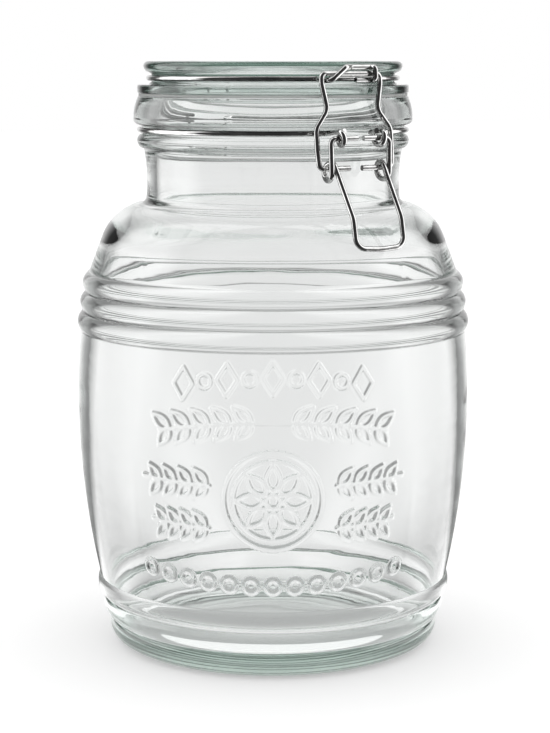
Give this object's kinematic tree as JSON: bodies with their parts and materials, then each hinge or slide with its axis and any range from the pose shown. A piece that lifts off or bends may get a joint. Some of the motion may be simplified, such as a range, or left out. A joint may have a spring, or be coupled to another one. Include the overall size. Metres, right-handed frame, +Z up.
{
  "type": "clip-top glass storage jar",
  "caption": "Ribbed barrel-shaped glass jar with a hinged flat glass lid, seal ring and wire swing clip.",
  "frame": {"origin": "centre of the foot ring, on the surface the jar stands on", "axes": "+Z up along the jar's axis, -Y towards the wire clip, +Y towards the lid's hinge, +X to the right seen from the clip"},
  "size_m": [0.1818, 0.1818, 0.2696],
  "materials": {
    "jar_glass": "clear pressed glass with a faint grey-green tint, thick at the hoops",
    "lid_glass": "clear pressed glass with a faint grey-green tint",
    "seal": "translucent pale seal ring, matt",
    "wire": "bright drawn steel wire"
  },
  "bodies": {
    "jar_body": {"jar": "jar_glass", "neck_ring": "wire"},
    "lid_body": {"lid": "lid_glass", "seal": "seal", "lid_ring": "wire"},
    "lever_body": {"lever": "wire"},
    "latch_body": {"latch": "wire"}
  },
  "joints": [
    {"name": "lid_hinge", "type": "hinge", "parent": "jar_body", "child": "lid_body", "pos_m": [0, 0.07, 0.25], "axis": [-1, 0, 0], "range_deg": [0, 95]},
    {"name": "lever_swing", "type": "hinge", "parent": "jar_body", "child": "lever_body", "pos_m": [0, -0.07, 0.2369], "axis": [-1, 0, 0], "range_deg": [0, 100]},
    {"name": "latch_turn", "type": "hinge", "parent": "lever_body", "child": "latch_body", "pos_m": [0, -0.0667, 0.2239], "axis": [1, 0, 0], "range_deg": [0, 125]}
  ],
  "couplings": [
    {"joint": "lever_swing", "follows": "lid_hinge", "ratio": 1.05},
    {"joint": "latch_turn", "follows": "lid_hinge", "ratio": 1.3}
  ]
}
